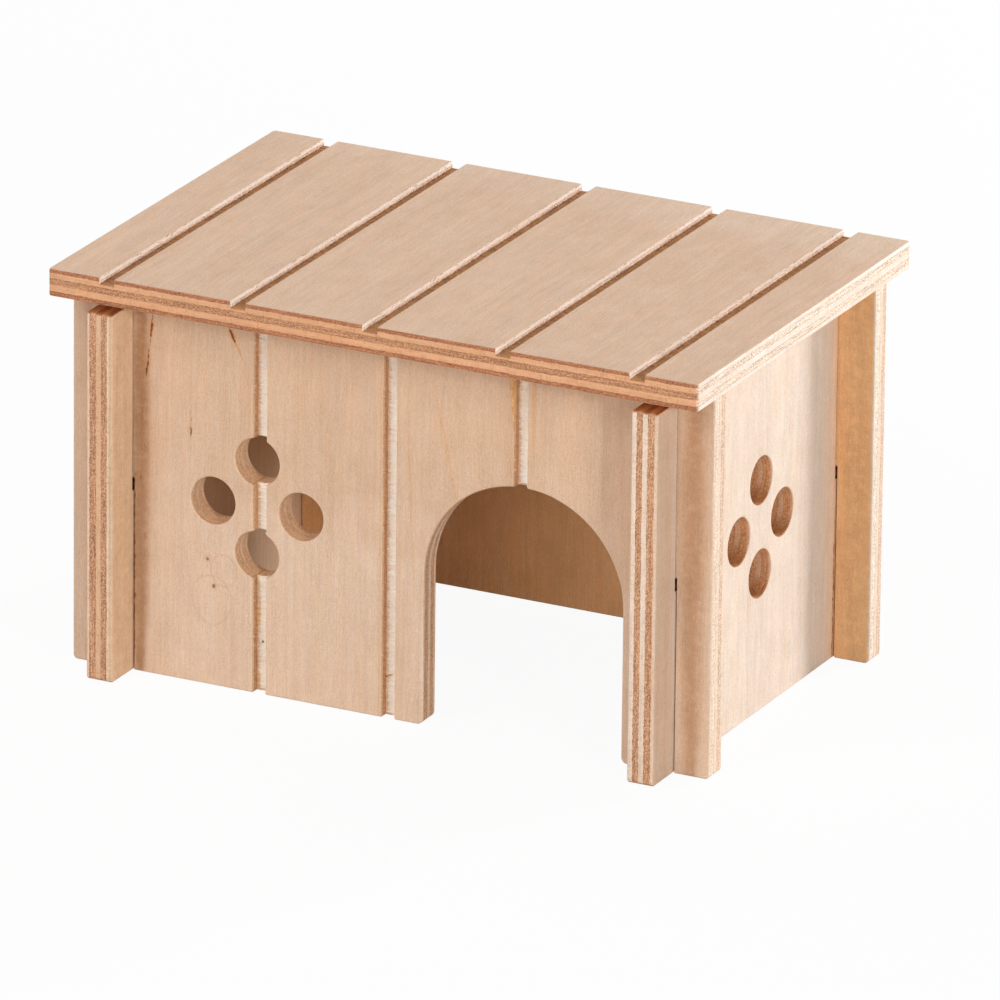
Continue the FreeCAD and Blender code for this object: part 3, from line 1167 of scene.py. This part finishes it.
@dataclass
class Roof:
    """The roof board, the torn floors and burrs of its grooves, and its two battens."""

    top: float = 89.5
    half_depth: float = 50.5
    groove_count: int = 5
    groove_pitch: float = 30.6
    groove_width: float = 3.5
    groove_depth: float = 1.6
    end_gap: float = 0.5        # the torn floors stop this far from the board's ends
    burr_gap: float = 1.5       # and the burrs this far before that
    slot_name: str = "roof_plywood"

    def build(self, nodes: dict[str, bpy.types.Object]) -> None:
        """Dresses the roof and its battens and adds the small pieces.

        Args:
            nodes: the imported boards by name.
        """
        sheet = Sheet(face=(226, 192, 165), edge=(238, 220, 206), end=(173, 113, 78),
                      middle_end=(185, 133, 96), core_face=(206, 152, 108),
                      core_edge=(219, 166, 127), core_end=(230, 202, 178))
        # Painted light: the top is paler and cooler towards the back and right, towards the key
        # lamp.
        pale = (StainOrPaintedLight(self.half_depth, 400.0, 60.0, 1200.0, 0.0, 1.0, (1.10, 1.26, 1.40)),)
        wood = Plywood("roof_plywood_board", sheet, Way.UP, Way.DEEP, Way.ACROSS, self.top, -1,
                       41.0, glue_mm=(0.85, 2.1, 3.45, 4.9), stains_and_painted_light=pale, speckle=1.15)
        dress(nodes["roof_board"], wood.build())
        dress(nodes["front_roof_batten"], Softwood("front_batten_wood", (-8.0, 110.0)).build())
        dress(nodes["back_roof_batten"], Softwood("back_batten_wood", (52.0, 58.0)).build())
        torn = TornGrain("roof_groove_fibre", Way.ACROSS, light=(220, 168, 120),
                         dark=(154, 98, 58), seed=9.0).build()
        rng = np.random.default_rng(29)
        rim = self.half_depth - self.end_gap
        spans = [(self.burr_gap - rim, rim - self.burr_gap)]
        for number in range(self.groove_count):
            middle = (number - (self.groove_count - 1) / 2) * self.groove_pitch
            groove = Groove(middle, self.groove_width, self.top - self.groove_depth, 1, Way.DEEP)
            points, faces = groove.bed(rng, same(-rim), same(rim), pitch=0.17, columns=13)
            add_piece(f"roof_groove_floor_{number + 1}", points, faces, torn, Body.ROOF)
            points, faces = groove.burrs(rng, spans, self.groove_depth, per_mm=0.5,
                                         length=(0.4, 2.6), slant=0.92)
            add_piece(f"roof_groove_burrs_{number + 1}", points, faces, torn, Body.ROOF,
                      smooth=False)


def join(meshes: Sequence[tuple[np.ndarray, np.ndarray]]) -> tuple[np.ndarray, np.ndarray]:
    """Several meshes as one."""
    starts = np.cumsum([0] + [len(points) for points, _ in meshes[:-1]])
    faces = [faces + start for (_, faces), start in zip(meshes, starts)]
    return np.concatenate([points for points, _ in meshes]), np.concatenate(faces)


def dress(node: bpy.types.Object, material: bpy.types.Material) -> None:
    """Gives a packed board its finish."""
    if not node.material_slots:
        node.data.materials.append(material)
    for place in node.material_slots:
        place.material = material
    log.info("%s: %s", node.name, material.name)


# Studio -------------------------------------------------------------------------------------


@dataclass
class Lamp:
    """A soft square lamp, placed by where it stands as seen from the house."""

    name: str
    azimuth: float              # degrees from +X towards +Y
    elevation: float            # degrees above the floor
    distance: float
    size: float
    level: float                # how bright it makes a white card that faces it
    colour: Shade = (1.0, 1.0, 1.0)

    def build(self, middle: Vector) -> None:
        """Adds the lamp, aimed at the middle of the house."""
        azimuth, elevation = math.radians(self.azimuth), math.radians(self.elevation)
        way = Vector((math.cos(azimuth) * math.cos(elevation),
                      math.sin(azimuth) * math.cos(elevation), math.sin(elevation)))
        light = bpy.data.lights.new(self.name, "AREA")
        light.shape, light.size = "SQUARE", self.size
        light.energy = self.level * (math.pi * self.distance) ** 2
        light.color = self.colour
        lamp = bpy.data.objects.new(self.name, light)
        bpy.context.scene.collection.objects.link(lamp)
        lamp.location = middle + way * self.distance
        lamp.rotation_euler = (-way).to_track_quat("-Z", "Y").to_euler()
        lamp.visible_camera = False


@dataclass
class Studio:
    """Floor, surrounding light, lamps and camera."""

    floor_reach: float = 4.0
    floor_drop: float = 0.00002
    floor_shade: float = 0.9
    shadow_share: float = 0.06      # how much of the floor's real shading the camera sees
    ambient: float = 0.09
    middle: Vector = field(default_factory=lambda: Vector((0.0, 0.0, 0.04)))
    lamps: tuple[Lamp, ...] = (
        Lamp("key_lamp", 60, 15, 1.4, 0.30, 1.04, (0.96, 1.0, 1.03)),
        Lamp("back_lamp", 152, 35, 1.8, 0.9, 0.22),
        Lamp("left_lamp", -116, 42, 1.8, 0.8, 0.36, (1.0, 0.99, 0.98)),
        Lamp("front_lamp", -78, 15, 1.8, 1.2, 0.27, (1.0, 0.99, 0.98)),
        Lamp("right_lamp", -37, 17, 1.8, 0.3, 0.34, (1.0, 0.99, 0.97)),
    )
    camera_at: Point = (1.34107, -2.66981, 1.13779)
    camera_right: Point = (0.892536, 0.45086, 0.01021)
    camera_down: Point = (0.164671, -0.304744, -0.938091)
    camera_ahead: Point = (-0.419836, 0.838961, -0.346239)
    focal_pixels: float = 15225.18
    frame_pixels: float = 1000.0
    sensor: float = 36.0

    def build(self) -> None:
        """Adds everything that isn't the house."""
        self.floor()
        self.world()
        for lamp in self.lamps:
            lamp.build(self.middle)
        self.camera()
        bpy.context.scene.view_settings.view_transform = "Standard"

    def floor(self) -> None:
        """A pale floor that shows white, with a share of the house's shadow on it.

        Seen from below it is clear, so that the house's underside shows.
        """
        reach, drop = self.floor_reach, -self.floor_drop
        mesh = bpy.data.meshes.new("floor")
        mesh.from_pydata([(-reach, -reach, drop), (reach, -reach, drop), (reach, reach, drop),
                          (-reach, reach, drop)], [], [(0, 1, 2, 3)])
        graph = Graph.of_material("floor_paint")
        rays = graph.node("ShaderNodeLightPath")
        seen = self.seen(graph, rays)
        matt = graph.node("ShaderNodeBsdfDiffuse", None, {"Color": plain(*[self.floor_shade] * 3)})
        white = graph.node("ShaderNodeEmission", None,
                           {"Color": plain(1.0, 1.0, 1.0), "Strength": 1.0})
        mixed = graph.node("ShaderNodeMixShader", None, {
            "Fac": seen * (1 - self.shadow_share), "Shader": matt.outputs[0],
            "Shader_001": white.outputs[0]})
        under = graph.node("ShaderNodeNewGeometry").outputs["Backfacing"]
        clear = graph.node("ShaderNodeBsdfTransparent")
        sided = graph.node("ShaderNodeMixShader", None, {
            "Fac": Signal(graph, under) * seen, "Shader": mixed.outputs[0],
            "Shader_001": clear.outputs[0]})
        graph.node("ShaderNodeOutputMaterial", None, {"Surface": sided.outputs[0]})
        mesh.materials.append(graph.holder)
        floor = bpy.data.objects.new("floor", mesh)
        bpy.context.scene.collection.objects.link(floor)

    @staticmethod
    def seen(graph: Graph, rays: bpy.types.Node) -> Signal:
        """1 for what the camera sees, itself or in gloss or through glass."""
        kinds = ("Is Camera Ray", "Is Glossy Ray", "Is Transmission Ray")
        first, second, third = (Signal(graph, rays.outputs[kind]) for kind in kinds)
        return first.then("MAXIMUM", second).then("MAXIMUM", third)

    def world(self) -> None:
        """Even light from all round, and white where the camera looks past the floor."""
        bpy.context.scene.world = bpy.data.worlds.new("studio")
        graph = Graph(bpy.context.scene.world)
        rays = graph.node("ShaderNodeLightPath")
        seen = self.seen(graph, rays)
        sky = graph.node("ShaderNodeBackground", None, {
            "Color": plain(1.0, 1.0, 1.0), "Strength": self.ambient + seen * (1 - self.ambient)})
        graph.node("ShaderNodeOutputWorld", None, {"Surface": sky.outputs[0]})

    def camera(self) -> None:
        """The camera at the photograph's place, with its measured lens."""
        lens = bpy.data.cameras.new("camera")
        lens.sensor_width = self.sensor
        lens.lens = self.sensor * self.focal_pixels / self.frame_pixels
        lens.clip_start, lens.clip_end = 0.05, 50.0
        camera = bpy.data.objects.new("camera", lens)
        bpy.context.scene.collection.objects.link(camera)
        right, up = Vector(self.camera_right), -Vector(self.camera_down)
        turn = Matrix((right, up, -Vector(self.camera_ahead))).transposed()
        camera.matrix_world = Matrix.Translation(self.camera_at) @ turn.to_4x4()
        bpy.context.scene.camera = camera


def corners(box: tuple[Vector, Vector]) -> list[list[float]]:
    """A box's two corners as plain lists."""
    return [list(corner) for corner in box]


def main() -> None:
    """Builds the studio and the house."""
    logging.basicConfig(level=logging.INFO, format="%(name)s: %(message)s")
    for thing in list(bpy.data.objects):
        bpy.data.objects.remove(thing)
    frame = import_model()
    nodes = frame["nodes"]
    Studio().build()
    FrontWall().build(nodes)
    # The right wall's sheet. Its face is paler and cooler than the other boards': a painted
    # highlight where the key lamp falls on this side. Its cut ends and core edges are dark end
    # grain, darkened further with painted shade, as on the tab tops under the roof.
    bright = Sheet(face=(224, 205, 189), inner=(238, 200, 156), edge=(227, 205, 187),
                   end=(158, 92, 50), middle_end=(150, 84, 42), core_edge=(178, 108, 60),
                   core_end=(194, 144, 108), bored=(212, 156, 108))
    # The left wall's sheet: the right wall's with its own face, inner face and edges, so its cut
    # ends keep that painted shade. Its inner face is paler than its outer face, partly painted
    # light for the inside.
    tan = replace(bright, face=(214, 174, 140), inner=(252, 222, 192), edge=(228, 198, 170),
                  core_end=(194, 144, 110), middle_edge=(219, 178, 144))
    # Painted shade on the right wall: warmer and darker towards the back corner, where the back
    # wall's end keeps the key lamp off, and on the front tab's outer face.
    shaded = (StainOrPaintedLight(42.0, 38.5, 300.0, 24.0, 0.0, 0.6, (1.16, 0.96, 0.76)),
              StainOrPaintedLight(42.0, 37.5, 300.0, 9.0, 0.0, 0.95, (0.84, 0.72, 0.60)),
              StainOrPaintedLight(42.0, -47.5, 300.0, 17.0, 0.0, 0.8, (0.94, 0.80, 0.67)))
    seams = (Streak(12.0, 34.72, 44.0, 0.5, 0.0, 1.0),)
    vents = Bore(along=41.0, across=-1.0, reach=15.6)
    SideWall("right_side_wall", 66.0, -1, 13.0, bright, shaded, vents, seams).build(nodes)
    # Darker on the inner face of the front tab, outside the house, than on the painted-light inner
    # face behind it.
    tail = (StainOrPaintedLight(42.0, -46.0, 240.0, 22.0, 0.0, 0.9, (0.74, 0.69, 0.62), True),)
    SideWall("left_side_wall", -66.0, 1, 31.0, tan, tail).build(nodes)
    BackWall().build(nodes)
    Roof().build(nodes)


if __name__ == "__main__":
    main()
